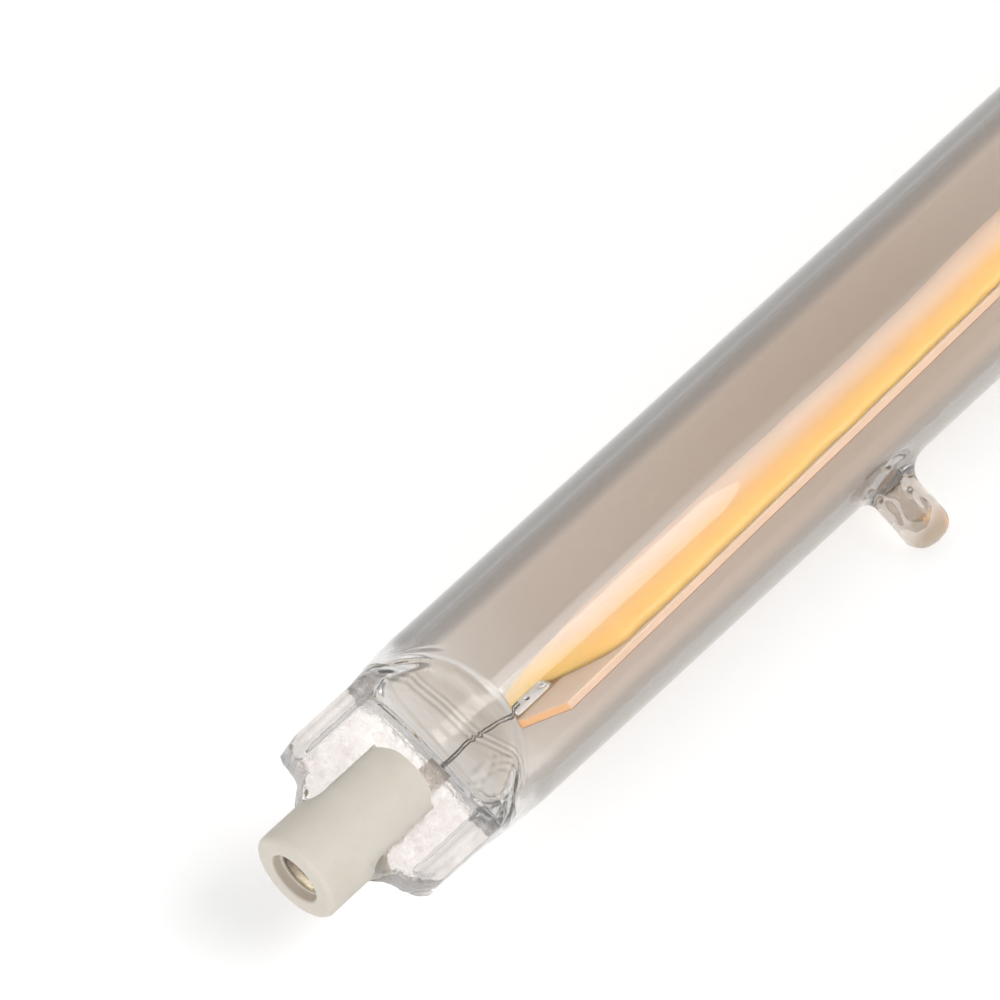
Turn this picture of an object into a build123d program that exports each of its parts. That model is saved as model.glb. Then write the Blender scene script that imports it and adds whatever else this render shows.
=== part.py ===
from build123d import *
import math
import os

# A double-ended linear lamp: a clear glass tube pinched flat at both ends, a ceramic cap on each
# pinch with a sunk metal contact, and inside it a lit strip hung between two lead wires.
# The lamp's axis is X and its middle is the origin. It is modelled as it lies on a table, on the
# tube's side and on the sealed exhaust tip, so +Z is up. Each end is drawn at the -X end, in the
# plane of its pinch, and mirrored. A depth is measured along the axis from the cap's end face.

# Driving sizes, in millimetres and degrees

# Spacing of the two contacts at the bottoms of their dishes, and how deep in its cap each bottom is
contact_spacing = 114.2
contact_depth = 1.7
overall_length = contact_spacing + 2 * contact_depth

# Glass tube
tube_radius = 7.5
glass_wall = 1.0

# Pinch: the pressed web, its two raised side ribs and the shoulder up to the tube
web_start = 4.1
web_width = 14.0
web_thickness = 3.8
web_edge_round = 1.0
tongue_width = 6.8
tongue_length = 1.3
neck_inset = 2.25
step_inset = 0.8
step_length = 0.35
web_slope_length = 0.75
web_corner_round = 1.3
rib_start = 6.4
rib_width = 1.9
rib_height = 5.0
rib_round = 0.75
facet_start = 13.1
facet_length = 1.1
facet_rise = 1.6
shoulder_length = 2.7
shoulder_bulge = 0.45
shoulder_fullness = 0.62
seal_setback = 0.6
hollow_end_height = 0.7
press_round = 0.35

# Sealed exhaust tip
tip_place = -6.8
tip_radius = 1.75
tip_reach = 13.1
tip_base_round = 1.5
tip_wall = 0.8
tip_end_wall = 1.7
tip_turn = 4.0

# Ceramic cap
cap_radius = 3.5
cap_length = 10.6
cap_face_round = 0.45
cap_corner_round = 2.4
slot_start = 3.9
cement_gap = 0.15
cement_inset = 0.4
recess_radius = 2.0
recess_mouth = 0.2
seat_step = 0.2
seat_start_gap = 0.1

# Contact button
button_clearance = 0.05
button_thickness = 0.9
button_rim = 0.2
button_hollow_depth = 0.8
stem_radius = 0.7

# Outer lead, sealing foil and inner lead
outer_lead_radius = 0.25
outer_lead_bend = 1.2
foil_width = 1.8
foil_thickness = 0.06
foil_start = 8.0
foil_setback = 0.5
foil_offset = 1.2
weld_length = 0.9
weld_sink = 0.04
inner_lead_radius = 0.17
inner_lead_bend = 1.6
inner_lead_rise = 0.25
inner_lead_straight = 0.9
lead_run = 0.4

# Lit strip
strip_end_depth = 19.3
strip_edge_room = 1.7
strip_thickness = 0.6
strip_corner_length = 2.2
strip_corner_width = 3.6
strip_turn = 22.0
strip_drop = 1.2
strip_side = 0.4
strip_slant = 1.17
track_inset = 0.3
track_width = 1.7
track_thickness = 0.08

# Terminal and its solder
terminal_inset = 0.6
terminal_length = 3.2
terminal_width = 1.1
terminal_thickness = 0.3
terminal_hole_radius = 0.3
terminal_hole_inset = 1.2
terminal_round = 0.15
lead_on_terminal = 0.8
solder_radius = 0.5
solder_height = 0.3

# Chips under the gel, and the gel
chip_end_room = 5.8
chip_pitch = 1.9
chip_length = 0.9
chip_width = 0.6
chip_thickness = 0.15
chip_room = 0.02
gel_width = 7.2
gel_height = 2.0
gel_inset = 3.0

# Supply parts on the strip's back at the far end
rectifier_size = (4.7, 3.9, 1.5)
driver_size = (3.9, 3.0, 1.2)
resistor_size = (2.0, 1.25, 0.5)
rectifier_legs = 2
rectifier_leg_pitch = 2.5
driver_legs = 4
driver_leg_pitch = 0.95
supply_inset = 6.5
supply_gap = 1.2
supply_round = 0.15
leg_thickness = 0.15
leg_reach = 0.6
rectifier_leg_width = 0.6
driver_leg_width = 0.4

# Values that follow from the driving sizes
half_length = overall_length / 2
web_half = web_thickness / 2
bore_radius = tube_radius - glass_wall
seal_depth = facet_start + seal_setback
seat_radius = recess_radius - seat_step
rim_depth = contact_depth - button_hollow_depth
seat_start = rim_depth - seat_start_gap
button_back = contact_depth + button_thickness
foil_end = seal_depth - foil_setback
foil_half = foil_thickness / 2
strip_length = overall_length - 2 * strip_end_depth
strip_width = 2 * (bore_radius - strip_edge_room)
chip_count = 1 + int((strip_length - 2 * chip_end_room) / chip_pitch)
tip_end_centre = tip_reach - tip_radius
rest_angle = math.degrees(math.asin((tube_radius - tip_radius) / tip_end_centre))
lay_turn = rest_angle - tip_turn
beyond = 2 * tube_radius


def along(depth):
    """The X of a depth from the near cap's end face."""
    return depth - half_length


def rod(radius, start, end):
    """A round bar on the axis between two depths."""
    place = Pos(along((start + end) / 2), 0, 0) * Rot(Y=90)
    return place * Cylinder(radius, end - start)


def slab(start, end, width, height):
    """A block centred on the axis between two depths."""
    return Pos(along((start + end) / 2), 0, 0) * Box(end - start, width, height)


def edges_along(shape, axis):
    return shape.edges().filter_by(axis)


def swept_wire(points, bends, radius):
    """A round wire along straight runs joined by arcs."""
    path = FilletPolyline(*points, radius=bends)
    section = Plane(origin=path @ 0, z_dir=path % 0) * Circle(radius)
    return sweep(section, path=path)


def press_side(start, end_height, rise, radius):
    """The upper line that the press leaves at the near end: level, a sloping facet, a domed shoulder."""
    facet_end = start + facet_length
    shoulder_end = facet_end + shoulder_length
    facet_top = end_height + rise
    shoulder_top = radius + shoulder_bulge
    middle_top = facet_top + shoulder_fullness * (shoulder_top - facet_top)
    facet = Polyline(
        (along(0), 0),
        (along(0), end_height),
        (along(start), end_height),
        (along(facet_end), facet_top),
    )
    dome = ThreePointArc(
        (along(facet_end), facet_top),
        (along((facet_end + shoulder_end) / 2), middle_top),
        (along(shoulder_end), shoulder_top),
    )
    top = Polyline((along(shoulder_end), shoulder_top), (0, shoulder_top), (0, 0), (along(0), 0))
    return facet + dome + top


def press_form(start, end_height, rise, radius):
    """The space that the press leaves at both ends, as wide as the lamp."""
    quarter = make_face(press_side(start, end_height, rise, radius))
    half = quarter + mirror(quarter, about=Plane.XZ)
    whole = half + mirror(half, about=Plane.YZ)
    return extrude(Plane.XZ * whole, amount=beyond, both=True)


def web_plate():
    """The flat web, with its narrower tongue for the cap and its end edges melted round."""
    tongue = tongue_width / 2
    half = web_width / 2
    tongue_end = web_start + tongue_length
    step_end = tongue_end + step_length
    slope_end = step_end + web_slope_length
    outline = Polyline(
        (along(web_start), -tongue),
        (along(web_start), tongue),
        (along(tongue_end), half - neck_inset),
        (along(step_end), half - step_inset),
        (along(slope_end), half),
        (along(seal_depth), half),
        (along(seal_depth), -half),
        (along(slope_end), -half),
        (along(step_end), step_inset - half),
        (along(tongue_end), neck_inset - half),
        close=True,
    )
    plate = extrude(make_face(outline), amount=web_half, both=True)
    corners = edges_along(plate, Axis.Z).filter_by(lambda e: e.center().X < along(seal_depth) - 1)
    plate = fillet(corners, web_corner_round)
    rim = plate.faces().sort_by(Axis.Z)[0].edges() + plate.faces().sort_by(Axis.Z)[-1].edges()
    open_rim = rim.filter_by(lambda e: e.center().X < along(rib_start + 1))
    return fillet(open_rim, web_edge_round)


def side_rib(side):
    """One of the raised, rounded bars along the web's long edges."""
    middle = side * (web_width - rib_width) / 2
    bar = Pos(0, middle, 0) * slab(rib_start, seal_depth, rib_width, rib_height)
    bar = fillet(edges_along(bar, Axis.X), rib_round)
    return fillet(bar.faces().sort_by(Axis.X)[0].edges(), press_round)


def tip_bar(radius, reach):
    """A bar with a domed end from the axis out to the given reach, where the exhaust tip is."""
    straight = Polyline((0, -reach + radius), (0, 0), (radius, 0), (radius, -reach + radius))
    dome = CenterArc((0, -reach + radius), radius, 270, 90)
    half = make_face(Curve() + [*straight.edges(), dome, Line((0, -reach), (0, -reach + radius))])
    bar = revolve(half, axis=Axis.Y)
    return Pos(tip_place, 0, 0) * Rot(X=tip_turn) * bar


def is_tip_base(edge):
    """Whether an edge is where the tip leaves the tube."""
    place = edge.center()
    near = abs(place.X - tip_place) < 2 * tip_radius
    return near and abs(place.Y) < tube_radius + 1 and edge.length < 8 * tip_radius


def glass_outside():
    """The tube, its tip, both shoulders and both pinches, still solid."""
    tube = rod(tube_radius, facet_start, overall_length - facet_start)
    body = tube + tip_bar(tip_radius, tip_reach)
    body = fillet(body.edges().filter_by(is_tip_base), tip_base_round)
    body = body & press_form(facet_start, web_half, facet_rise, tube_radius)
    near_web = web_plate() + side_rib(1) + side_rib(-1)
    return body + near_web + mirror(near_web, about=Plane.YZ)


def glass_hollow():
    """The sealed space inside the tube and its tip."""
    end_height = hollow_end_height / 2
    bore = rod(bore_radius, seal_depth, overall_length - seal_depth)
    bore = bore & press_form(seal_depth, end_height, facet_rise, bore_radius)
    tip_bore = tip_bar(tip_radius - tip_wall, tip_reach - tip_end_wall)
    return bore + tip_bore


def cap_slot(end):
    """The slot across the cap that takes the pinch, down to the given depth from the lamp's end."""
    return slab(slot_start, end, 2 * cap_radius, web_thickness + 2 * cement_gap)


def cap():
    """The ceramic cap: a round bar with a sunk contact seat in front and a slot behind."""
    outline = Pos(along(cap_length / 2), 0) * Rectangle(cap_length, 2 * cap_radius)
    outline = fillet(outline.vertices().group_by(Axis.X)[-1], cap_corner_round)
    bar = rod(cap_radius, 0, cap_length) & extrude(outline, amount=cap_radius, both=True)
    bar = fillet(bar.faces().sort_by(Axis.X)[0].edges(), cap_face_round)
    bar = bar - rod(recess_radius, 0, seat_start) - rod(seat_radius, seat_start, button_back)
    mouth = bar.faces().sort_by(Axis.X)[0].edges().sort_by(SortBy.LENGTH)[0]
    bar = fillet(mouth, recess_mouth)
    bar = bar - rod(stem_radius + button_clearance, button_back, slot_start)
    return bar - cap_slot(cap_length + 1)


def contact():
    """The contact: a dished disc in the cap's seat, on a stem through the cap."""
    disc_radius = seat_radius - button_clearance
    hollow_radius = disc_radius - button_rim
    front = along(rim_depth)
    bottom = along(contact_depth)
    ball = (hollow_radius**2 + button_hollow_depth**2) / (2 * button_hollow_depth)
    centre = bottom - ball
    edge = math.degrees(math.asin(hollow_radius / ball))
    dish = CenterArc((centre, 0), ball, 0, edge)
    rim = Polyline(
        (front, hollow_radius),
        (front, disc_radius),
        (along(button_back), disc_radius),
        (along(button_back), stem_radius),
        (along(slot_start), stem_radius),
        (along(slot_start), 0),
        (bottom, 0),
    )
    return revolve(make_face(dish + rim), axis=Axis.X)


def foil():
    """The thin strip of metal that seals the lead-through in the web."""
    return Pos(0, -foil_offset, 0) * slab(foil_start, foil_end, foil_width, foil_thickness)


def outer_lead():
    """The lead from the contact's stem through the web to the foil."""
    height = weld_sink - foil_half - outer_lead_radius
    middle = (web_start + foil_start) / 2
    points = (
        (along(slot_start), 0, height),
        (along(middle - foil_offset), 0, height),
        (along(middle + foil_offset), -foil_offset, height),
        (along(foil_start + weld_length), -foil_offset, height),
    )
    return swept_wire(points, outer_lead_bend, outer_lead_radius) - foil()


def strip_place():
    """Where the lit strip lies: its middle, with its front up."""
    aside = Pos(0, -strip_side, -strip_drop)
    return Rot(X=strip_turn - 90) * aside * Rot(Y=-strip_slant)


def strip_point(x, y, z):
    """A point given on the strip, in the lamp's own frame."""
    return (strip_place() * Pos(x, y, z)).position


def inner_lead(end, metal):
    """The lead from the foil to a terminal; end is -1 at the near end and 1 at the far one."""
    height = weld_sink - foil_half - inner_lead_radius
    top = track_thickness + terminal_thickness + inner_lead_radius - weld_sink
    seal = half_length - foil_end
    start = Vector(end * (seal + weld_length), -foil_offset, height)
    leave = Vector(end * (half_length - seal_depth - inner_lead_straight), -foil_offset, height)
    land = strip_point(end * (strip_length / 2 + lead_run), 0, top)
    stop = strip_point(end * (strip_length / 2 - terminal_inset - lead_on_terminal), 0, top)
    arch = (leave + land) * 0.5 + Vector(0, inner_lead_rise, 0)
    return swept_wire((start, leave, arch, land, stop), inner_lead_bend, inner_lead_radius) - metal


def strip_board():
    """The strip itself, with its corners cut off."""
    long = strip_length / 2
    wide = strip_width / 2
    outline = Polyline(
        (-long, wide - strip_corner_width),
        (-long + strip_corner_length, wide),
        (long - strip_corner_length, wide),
        (long, wide - strip_corner_width),
        (long, strip_corner_width - wide),
        (long - strip_corner_length, -wide),
        (-long + strip_corner_length, -wide),
        (-long, strip_corner_width - wide),
        close=True,
    )
    return extrude(make_face(outline), amount=-strip_thickness)


def chips(room):
    """The row of light-emitting chips, each with the given room round it and above it."""
    height = chip_thickness + room
    chip = Pos(0, 0, height / 2) * Box(chip_length + 2 * room, chip_width + 2 * room, height)
    return [place * chip for place in GridLocations(chip_pitch, 0, chip_count, 1)]


def track(end):
    """The printed conductor from a terminal to the first chip."""
    outer = strip_length / 2 - track_inset
    inner = (chip_count - 1) * chip_pitch / 2 + chip_length / 2
    bar = Box(outer - inner, track_width, track_thickness)
    return Pos(end * (outer + inner) / 2, 0, track_thickness / 2) * bar


def terminal(end):
    """The soldered tab with its round hole."""
    middle = strip_length / 2 - terminal_inset - terminal_length / 2
    height = track_thickness + terminal_thickness / 2
    tab = Box(terminal_length, terminal_width, terminal_thickness)
    tab = fillet(edges_along(tab, Axis.Z), terminal_round)
    hole = Pos(end * (terminal_length / 2 - terminal_hole_inset), 0, 0)
    tab = tab - hole * Cylinder(terminal_hole_radius, 2 * terminal_thickness)
    return Pos(end * middle, 0, height) * tab


def solder(end):
    """The drop of solder at a terminal's inner end."""
    middle = strip_length / 2 - terminal_inset - terminal_length
    ball = (solder_radius**2 + solder_height**2) / (2 * solder_height)
    drop = Pos(0, 0, track_thickness + solder_height - ball) * Sphere(ball)
    drop = drop & Pos(0, 0, track_thickness + solder_height) * Box(4 * ball, 4 * ball, 2 * solder_height)
    return Pos(end * middle, 0, 0) * drop - terminal(end)


def gel_body():
    """The long bead of gel with domed ends, before what it covers is cut out."""
    ball = ((gel_width / 2) ** 2 + gel_height**2) / (2 * gel_height)
    run = strip_length / 2 - gel_inset - gel_width / 2
    crown = Line((0, gel_height), (0, 0))
    floor = Line((0, 0), (gel_width / 2, 0))
    side = RadiusArc((gel_width / 2, 0), (0, gel_height), -ball)
    half = make_face(Curve() + [crown, floor, side])
    quarter = Plane.YZ * half
    half_bead = extrude(quarter, amount=run, both=True)
    bead = half_bead + mirror(half_bead, about=Plane.XZ)
    round_end = revolve(Plane.XZ * half, axis=Axis.Z)
    return bead + Pos(run, 0, 0) * round_end + Pos(-run, 0, 0) * round_end


def supply_part(size, legs, leg_pitch, leg_width):
    """A small moulded part with its legs, standing off a face that looks down."""
    length, width, height = size
    body = Pos(0, 0, -height / 2 - leg_thickness) * Box(length, width, height)
    body = chamfer(body.faces().sort_by(Axis.Z)[0].edges(), supply_round)
    foot = Pos(0, 0, -leg_thickness / 2) * Box(leg_width, width + 2 * leg_reach, leg_thickness)
    return body + [place * foot for place in GridLocations(leg_pitch, 0, legs, 1)]


def supply_parts():
    """The three parts on the strip's back at the far end, in a row from its end inwards."""
    rectifier_place = strip_length / 2 - supply_inset
    driver_place = rectifier_place - (rectifier_size[0] + driver_size[0]) / 2 - supply_gap
    resistor_place = driver_place - (driver_size[0] + resistor_size[0]) / 2 - supply_gap
    back = -strip_thickness
    rectifier = supply_part(rectifier_size, rectifier_legs, rectifier_leg_pitch, rectifier_leg_width)
    driver = supply_part(driver_size, driver_legs, driver_leg_pitch, driver_leg_width)
    resistor = Pos(0, 0, -resistor_size[2] / 2) * Box(*resistor_size)
    rectifier = Pos(rectifier_place, 0, back) * rectifier
    driver = Pos(driver_place, 0, back) * driver
    resistor = Pos(resistor_place, 0, back) * resistor
    return rectifier, driver, resistor


def save(name, piece):
    """Writes one piece as the lamp lies on its tube and tip."""
    export_step(Rot(X=lay_turn) * piece, f"parts/{name}.step")


def save_pair(name, piece):
    """Writes a piece for the near end and its mirror image for the far end."""
    save("near_" + name, piece)
    save("far_" + name, mirror(piece, about=Plane.YZ))


def on_strip(piece):
    return strip_place() * piece


os.makedirs("parts", exist_ok=True)

near_terminal = terminal(-1)
far_terminal = terminal(1)
solid_glass = glass_outside()
near_inner_lead = inner_lead(-1, foil() + on_strip(near_terminal))
far_inner_lead = inner_lead(1, mirror(foil(), about=Plane.YZ) + on_strip(far_terminal))
near_lead_parts = foil() + outer_lead()
lead_parts = near_lead_parts + mirror(near_lead_parts, about=Plane.YZ)
glass = solid_glass - glass_hollow() - lead_parts - near_inner_lead - far_inner_lead
cement = (rod(cap_radius, 0, cap_length) & cap_slot(cap_length - cement_inset)) - solid_glass - outer_lead()

save("glass_envelope", glass)
save_pair("ceramic_cap", cap())
save_pair("contact", contact())
save_pair("cap_cement", cement)
save_pair("outer_lead", outer_lead())
save_pair("sealing_foil", foil())
save("near_inner_lead", near_inner_lead)
save("far_inner_lead", far_inner_lead)

near_solder = solder(-1)
far_solder = solder(1)
chip_row = Compound(children=chips(0))
rectifier, driver, resistor = supply_parts()
covered = [*chips(chip_room), track(-1), track(1), near_terminal, far_terminal, near_solder, far_solder]

save("strip_board", on_strip(strip_board()))
save("near_track", on_strip(track(-1)))
save("far_track", on_strip(track(1)))
save("near_terminal", on_strip(near_terminal))
save("far_terminal", on_strip(far_terminal))
save("near_solder", on_strip(near_solder))
save("far_solder", on_strip(far_solder))
save("led_chips", on_strip(chip_row))
save("phosphor_gel", on_strip(gel_body() - covered))
save("rectifier", on_strip(rectifier))
save("driver_chip", on_strip(driver))
save("limit_resistor", on_strip(resistor))
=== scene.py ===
import math

import bmesh
import bpy
import numpy as np
from mathutils import Matrix, Vector, noise


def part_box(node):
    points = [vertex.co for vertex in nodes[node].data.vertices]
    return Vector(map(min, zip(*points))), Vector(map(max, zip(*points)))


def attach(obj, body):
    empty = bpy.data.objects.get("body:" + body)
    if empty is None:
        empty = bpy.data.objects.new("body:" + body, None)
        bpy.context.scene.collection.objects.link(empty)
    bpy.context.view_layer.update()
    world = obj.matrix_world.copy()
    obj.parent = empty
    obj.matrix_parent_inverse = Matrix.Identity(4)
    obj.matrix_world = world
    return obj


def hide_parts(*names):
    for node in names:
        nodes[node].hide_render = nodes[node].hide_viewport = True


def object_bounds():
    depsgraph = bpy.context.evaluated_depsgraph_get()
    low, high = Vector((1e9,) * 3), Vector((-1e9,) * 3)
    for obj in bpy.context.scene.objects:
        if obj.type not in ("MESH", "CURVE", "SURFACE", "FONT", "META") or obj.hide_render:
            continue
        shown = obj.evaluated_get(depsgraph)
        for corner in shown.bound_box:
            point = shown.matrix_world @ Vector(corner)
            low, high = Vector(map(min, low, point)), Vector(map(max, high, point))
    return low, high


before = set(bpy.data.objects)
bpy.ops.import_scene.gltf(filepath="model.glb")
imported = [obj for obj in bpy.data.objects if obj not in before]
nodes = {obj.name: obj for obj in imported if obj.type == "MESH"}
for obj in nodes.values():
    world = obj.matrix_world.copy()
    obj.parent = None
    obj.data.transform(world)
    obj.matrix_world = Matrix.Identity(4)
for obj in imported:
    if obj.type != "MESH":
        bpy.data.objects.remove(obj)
cad_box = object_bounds()

# The scene is in metres and the lamp's axis is X. The pinch lies in a plane turned about X by LAY. Shapes
# are drawn from it in millimetres: along the axis, aside across the web, and above it on the side that
# faces up. END is half the lamp's length
MM = 0.001
LAY = math.radians(26.44)
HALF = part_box("near_ceramic_cap")[0][0] * -1
END = HALF / MM
FLOOR = cad_box[0][2]


def turned(x, y, z):
    """A point of the pinch's own frame in the row frame."""
    return Vector((x, y * math.cos(LAY) - z * math.sin(LAY), y * math.sin(LAY) + z * math.cos(LAY)))


# Node helpers


def new_material(name):
    """A material with a Principled shader, and the parts of its node tree."""
    material = bpy.data.materials.new(name)
    material.use_nodes = True
    tree = material.node_tree
    tree.nodes.clear()
    output = tree.nodes.new("ShaderNodeOutputMaterial")
    shader = tree.nodes.new("ShaderNodeBsdfPrincipled")
    tree.links.new(shader.outputs["BSDF"], output.inputs["Surface"])
    return material, tree, shader, output


def add(tree, kind, **settings):
    """A new node with its settings."""
    node = tree.nodes.new(kind)
    for key, value in settings.items():
        setattr(node, key, value)
    return node


def fix(node, **values):
    """Sets a node's inputs by name, where an underscore stands for a space."""
    for key, value in values.items():
        node.inputs[key.replace("_", " ")].default_value = value


def join(source, target):
    """Feeds an input from another node's output, or sets it to a value."""
    if isinstance(source, bpy.types.NodeSocket):
        target.id_data.links.new(source, target)
    else:
        target.default_value = source


def calculate(tree, operation, *values):
    """The result of a Math node; each value is a number or another node's output."""
    node = add(tree, "ShaderNodeMath", operation=operation)
    for value, target in zip(values, node.inputs):
        join(value, target)
    return node.outputs["Value"]


def mix_colours(tree, share, first, second, way="MIX"):
    node = add(tree, "ShaderNodeMix", data_type="RGBA", blend_type=way)
    for key, value in (("Factor", share), ("A", first), ("B", second)):
        join(value, node.inputs[key])
    return node.outputs["Result"]


def place(tree, turn=0.0):
    """Object coordinates, turned about X."""
    coordinates = tree.nodes.new("ShaderNodeTexCoord")
    mapping = tree.nodes.new("ShaderNodeMapping")
    fix(mapping, Rotation=(turn, 0, 0))
    join(coordinates.outputs["Object"], mapping.inputs["Vector"])
    return mapping.outputs["Vector"]


def split(tree, vector):
    """The three parts of a vector, by the names X, Y and Z."""
    parts = tree.nodes.new("ShaderNodeSeparateXYZ")
    join(vector, parts.inputs["Vector"])
    return parts.outputs


def speckle(tree, size, detail=3.0, roughness=0.55):
    """Soft noise with features of about the given size, from 0 to 1."""
    texture = tree.nodes.new("ShaderNodeTexNoise")
    fix(texture, Scale=1 / size, Detail=detail, Roughness=roughness)
    join(place(tree), texture.inputs["Vector"])
    return texture.outputs["Fac"]


def ramp(tree, value, *stops):
    """Colours along a value; each stop is (position, colour)."""
    node = tree.nodes.new("ShaderNodeValToRGB")
    elements = node.color_ramp.elements
    while len(elements) < len(stops):
        elements.new(0.5)
    for element, (position, colour) in zip(elements, stops):
        element.position = position
        element.color = (*colour, 1)
    join(value, node.inputs["Fac"])
    return node.outputs["Color"]


def spread(tree, value, low, high, start=0.0, end=1.0):
    """A value between start and end mapped to between low and high."""
    node = tree.nodes.new("ShaderNodeMapRange")
    fix(node, From_Min=start, From_Max=end, To_Min=low, To_Max=high)
    join(value, node.inputs["Value"])
    return node.outputs["Result"]


def bump(shader, height, distance, strength):
    node = shader.id_data.nodes.new("ShaderNodeBump")
    fix(node, Distance=distance, Strength=strength)
    join(height, node.inputs["Height"])
    join(node.outputs["Normal"], shader.inputs["Normal"])


def srgb(red, green, blue):
    """A colour given from 0 to 255, as the linear values that Blender takes."""
    def linear(value):
        share = value / 255
        return share / 12.92 if share <= 0.04045 else ((share + 0.055) / 1.055) ** 2.4
    return tuple(linear(value) for value in (red, green, blue))


# Materials

# A noise texture seldom leaves these values, so tones and roughness are spread between them
NOISE_LOW = 0.3
NOISE_HIGH = 0.7


def uneven(tree, noise_value, dark, light):
    """Two colours that follow a noise."""
    return ramp(tree, noise_value, (NOISE_LOW, dark), (NOISE_HIGH, light))


def dress(shader, colour, grain, rough, relief, strength):
    """Gives a shader its colour, and roughness and relief that follow a grain."""
    join(colour, shader.inputs["Base Color"])
    join(spread(shader.id_data, grain, *rough, NOISE_LOW, NOISE_HIGH), shader.inputs["Roughness"])
    bump(shader, grain, relief, strength)


def ceramic_material():
    """Fine-grained unglazed ceramic, cream with slightly greyer patches."""
    material, tree, shader, _ = new_material("cap_ceramic")
    tones = uneven(tree, speckle(tree, 2.2 * MM), srgb(224, 216, 203), srgb(230, 223, 212))
    join(tones, shader.inputs["Base Color"])
    grain = speckle(tree, 0.09 * MM, detail=4)
    join(spread(tree, grain, 0.42, 0.6), shader.inputs["Roughness"])
    bump(shader, grain, distance=0.008 * MM, strength=0.5)
    reach = (0.6 * MM, 0.45 * MM, 0.35 * MM)
    fix(shader, Specular_IOR_Level=0.4, Subsurface_Weight=0.25, Subsurface_Radius=reach, Subsurface_Scale=1.0)
    return material


# How the glass bends light and takes it up per metre. A shadow ray and a ray that has met more surfaces
# than RAY_LIMIT go straight on, toned a little
GLASS_IOR = 1.47
GLASS_DENSITY = 60
RAY_LIMIT = 3.5
STRAIGHT_ON = (0.97, 0.966, 0.962, 1)
# Tones of the pressed face's wrinkles
WRINKLE_TONES = ((0.32, srgb(206, 200, 200)), (0.46, srgb(236, 231, 230)), (0.6, srgb(250, 248, 247)))


def glass_material():
    """Clear glass that lets lamps through, toned by the piece's tint, which holds painted shade, reflections
    and highlights, and roughened by its frost.
    """
    material, tree, shader, output = new_material("clear_glass")
    tint = add(tree, "ShaderNodeAttribute", attribute_name="tint").outputs["Color"]
    frost = add(tree, "ShaderNodeAttribute", attribute_name="frost").outputs["Fac"]
    wrinkle = ramp(tree, speckle(tree, 1.0 * MM, detail=5, roughness=0.68), *WRINKLE_TONES)
    face = mix_colours(tree, frost, (1, 1, 1, 1), wrinkle)
    join(mix_colours(tree, 1.0, tint, face, "MULTIPLY"), shader.inputs["Base Color"])
    rough = spread(tree, speckle(tree, 0.35 * MM, detail=4), 0.1, 0.34, 0.35, 0.65)
    join(calculate(tree, "MULTIPLY", rough, frost), shader.inputs["Roughness"])
    crackle = speckle(tree, 0.75 * MM, detail=4, roughness=0.6)
    bump(shader, calculate(tree, "MULTIPLY", crackle, frost), distance=0.2 * MM, strength=0.6)
    fix(shader, Transmission_Weight=1.0, IOR=GLASS_IOR)
    paths = tree.nodes.new("ShaderNodeLightPath").outputs
    trapped = calculate(tree, "GREATER_THAN", paths["Ray Depth"], RAY_LIMIT)
    clear = tree.nodes.new("ShaderNodeBsdfTransparent")
    fix(clear, Color=STRAIGHT_ON)
    mix = tree.nodes.new("ShaderNodeMixShader")
    join(calculate(tree, "MAXIMUM", paths["Is Shadow Ray"], trapped), mix.inputs["Fac"])
    join(shader.outputs["BSDF"], mix.inputs[1])
    join(clear.outputs["BSDF"], mix.inputs[2])
    join(mix.outputs["Shader"], output.inputs["Surface"])
    grey = tree.nodes.new("ShaderNodeVolumeAbsorption")
    fix(grey, Color=(0.5, 0.5, 0.5, 1), Density=GLASS_DENSITY)
    join(grey.outputs["Volume"], output.inputs["Volume"])
    return material


def metal_material(name, colour, rough, size, metallic=1.0):
    """Plain metal with a slightly uneven shine."""
    material, tree, shader, _ = new_material(name)
    tone = speckle(tree, size, detail=4)
    darker = tuple(0.82 * value for value in colour)
    fix(shader, Metallic=metallic)
    dress(shader, uneven(tree, tone, darker, colour), tone, rough, relief=0.02 * MM, strength=0.4)
    return material


# Painted light on the contact across its dish: a pale gold painted highlight on the lower side, fading to
# brown painted shade on the upper side, where the hole shadows it
DISH_SHADE_AND_HIGHLIGHT = ((0.0, srgb(255, 246, 224)), (0.2, srgb(246, 230, 200)), (0.45, srgb(214, 200, 176)),
           (0.65, srgb(156, 140, 126)), (0.85, srgb(120, 106, 98)))


def contact_material():
    """Nickel with painted light across its dish, a pale gold highlight on one side and brown shade on the
    other, and faint turning marks round its axis.
    """
    material, tree, shader, _ = new_material("contact_nickel")
    across = split(tree, place(tree, turn=-LAY))["Y"]
    ragged = calculate(tree, "MULTIPLY_ADD", speckle(tree, 0.6 * MM, 4, 0.6), 1.1 * MM, across)
    share = spread(tree, ragged, 0.0, 1.0, -1.2 * MM, 2.4 * MM)
    # The ramp paints highlight and shade across the dish, by the place across it
    join(ramp(tree, share, *DISH_SHADE_AND_HIGHLIGHT), shader.inputs["Base Color"])
    fix(shader, Metallic=1.0)
    grain = speckle(tree, 0.45 * MM, roughness=0.6)
    join(spread(tree, grain, 0.1, 0.25, NOISE_LOW, NOISE_HIGH), shader.inputs["Roughness"])
    rings = add(tree, "ShaderNodeTexWave", wave_type="RINGS", rings_direction="X")
    fix(rings, Scale=1 / (2.6 * MM), Distortion=1.5, Detail_Scale=2.0)
    join(place(tree), rings.inputs["Vector"])
    height = calculate(tree, "MULTIPLY_ADD", grain, 0.8, rings.outputs["Fac"])
    bump(shader, height, distance=0.12 * MM, strength=1.0)
    return material


def plain_material(name, dark, light, size, rough, relief, specular=0.5):
    """A moulded or fired stuff: two close tones in soft patches, with a fine grain."""
    material, tree, shader, _ = new_material(name)
    tones = uneven(tree, speckle(tree, size), dark, light)
    fix(shader, Specular_IOR_Level=specular)
    dress(shader, tones, speckle(tree, size / 8, detail=4), rough, relief, strength=0.5)
    return material


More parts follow.
